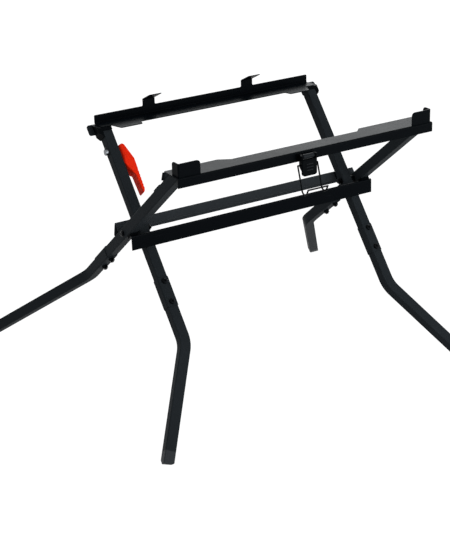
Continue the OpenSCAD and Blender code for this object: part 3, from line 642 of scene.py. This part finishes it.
class SAWSTAND_OT_trim(bpy.types.Operator):
    """Makes the ribs and the rolled barrel of the draw latch, in a lightened latch coat that paints their
    highlight
    """

    bl_idname = "sawstand.trim"
    bl_label = "Latch trim"

    def execute(self, context):
        look = context.scene.saw_stand_trim
        low, high = part_box("latch_lever")
        # The lowest of the three ribs lies above the plate's rounded lower end
        lowest = np.array(((low[0] + high[0]) / 2, low[1], low[2] + LOWEST_RIB))
        ribs = [
            latch_rib(
                lowest + step * look.rib_step * Z, look.rib_length, RIB_HALF_WIDTH, RIB_HEIGHT
            )
            for step in range(3)
        ]
        # The ribs get the latch coat's lightened copy, a painted highlight
        make_piece("latch_ribs", ribs, "latch", "latch_coat", "rolled_latch_coat")
        pin_low, pin_high = part_box("latch_pin")
        half_length = (pin_high[0] - pin_low[0]) / 2 - BARREL_INSET
        barrel = rolled_barrel((pin_low + pin_high) / 2, half_length, look.barrel_size / 2)
        # The barrel gets the same lightened copy, a painted highlight
        make_piece("latch_barrel", [barrel], "outer_frame", "latch_coat", "rolled_latch_coat")
        return {"FINISHED"}


def aimed_camera(stage):
    """The camera, turned by the stage's yaw, pitch and roll."""
    yaw, pitch, roll = stage.yaw, stage.pitch, stage.roll
    ahead = Vector((
        math.sin(yaw) * math.cos(pitch), math.cos(yaw) * math.cos(pitch), -math.sin(pitch)
    ))
    level = Vector((math.cos(yaw), -math.sin(yaw), 0.0))
    upright = level.cross(ahead)
    right = math.cos(roll) * level + math.sin(roll) * upright
    up = -math.sin(roll) * level + math.cos(roll) * upright
    data = bpy.data.cameras.new("camera")
    data.lens = stage.lens
    data.sensor_width = 36.0
    camera = bpy.data.objects.new("camera", data)
    turn = Matrix((right, up, -ahead)).transposed().to_4x4()
    camera.matrix_world = Matrix.Translation(Vector(stage.camera_place)) @ turn
    return camera


def floor_material():
    """White to the camera and in gloss, and keeping a soft shadow; plain pale to light."""
    s = Shader(bpy.data.materials.new("floor"))
    plain = s.node("ShaderNodeBsdfDiffuse", {}, {"Color": FLOOR_COLOUR})
    white = s.node("ShaderNodeEmission", {}, {"Color": WHITE, "Strength": FLOOR_STRENGTH})
    mixed = s.node("ShaderNodeMixShader", {}, {0: s.seen() * FLOOR_WHITE, 1: plain, 2: white})
    return s.surface(mixed)


def wide_floor(size):
    """A square floor at the stand's feet."""
    half = size / 2
    mesh = bpy.data.meshes.new("floor")
    corners = [(-half, -half, 0), (half, -half, 0), (half, half, 0), (-half, half, 0)]
    mesh.from_pydata(corners, [], [(0, 1, 2, 3)])
    mesh.materials.append(floor_material())
    return bpy.data.objects.new("floor", mesh)


def white_world():
    """A grey world that looks white to the camera and in gloss."""
    s = Shader(bpy.data.worlds.new("studio"))
    light = s.node("ShaderNodeBackground", {}, {"Color": WHITE, "Strength": WORLD_STRENGTH})
    white = s.node("ShaderNodeBackground", {}, {"Color": WHITE})
    mixed = s.node("ShaderNodeMixShader", {}, {0: s.seen(), 1: light, 2: white})
    return s.surface(mixed, "ShaderNodeOutputWorld")


def soft_lamp(name, place, size, power):
    """A square area lamp that points at the stand."""
    data = bpy.data.lights.new(name, "AREA")
    data.shape = "SQUARE"
    data.size = size
    data.energy = power
    data.color = LAMP_TINT
    lamp = bpy.data.objects.new(name, data)
    lamp.location = place
    lamp.rotation_mode = "QUATERNION"
    lamp.rotation_quaternion = (Vector(LAMP_TARGET) - Vector(place)).to_track_quat("-Z", "Y")
    return lamp


class SAWSTAND_OT_stage(bpy.types.Operator):
    """Makes the camera, the lamps and the floor"""

    bl_idname = "sawstand.stage"
    bl_label = "Stage"

    def execute(self, context):
        scene = context.scene
        stage = scene.saw_stand_stage
        camera = aimed_camera(stage)
        scene.collection.objects.link(camera)
        scene.camera = camera
        floor = wide_floor(stage.floor_size)
        scene.collection.objects.link(floor)
        scene.world = white_world()
        for name, (place, size, power) in LAMPS.items():
            scene.collection.objects.link(soft_lamp(name, place, size, power))
        scene.view_settings.view_transform = "Standard"
        return {"FINISHED"}


class SAWSTAND_PT_panel(bpy.types.Panel):
    """Lists the stand's sizes, colours and steps"""

    bl_idname = "SAWSTAND_PT_panel"
    bl_label = "Saw stand"
    bl_space_type = "VIEW_3D"
    bl_region_type = "UI"
    bl_category = "Saw stand"

    def draw(self, context):
        for group_name in GROUPS:
            group = getattr(context.scene, group_name)
            column = self.layout.column()
            for name in group.bl_rna.properties.keys():
                if name not in ("rna_type", "name"):
                    column.prop(group, name)
        for step in STEPS:
            self.layout.operator(step.bl_idname)


STEPS = (
    SAWSTAND_OT_finishes,
    SAWSTAND_OT_welds,
    SAWSTAND_OT_lever,
    SAWSTAND_OT_trim,
    SAWSTAND_OT_stage,
)
GROUPS = {
    "saw_stand_finishes": SawStandFinishes,
    "saw_stand_welds": SawStandWelds,
    "saw_stand_lever": SawStandLever,
    "saw_stand_trim": SawStandTrim,
    "saw_stand_stage": SawStandStage,
}


def register():
    """Registers the groups, the steps and the panel."""
    for item in (*GROUPS.values(), *STEPS, SAWSTAND_PT_panel):
        bpy.utils.register_class(item)
    for name, group in GROUPS.items():
        setattr(bpy.types.Scene, name, bpy.props.PointerProperty(type=group))


def unregister():
    """Takes them back out."""
    for name in GROUPS:
        delattr(bpy.types.Scene, name)
    for item in (SAWSTAND_PT_panel, *reversed(STEPS), *reversed(GROUPS.values())):
        bpy.utils.unregister_class(item)


def main():
    """Runs every step in order."""
    register()
    for step in STEPS:
        group, name = step.bl_idname.split(".")
        getattr(getattr(bpy.ops, group), name)()


if __name__ == "__main__":
    main()
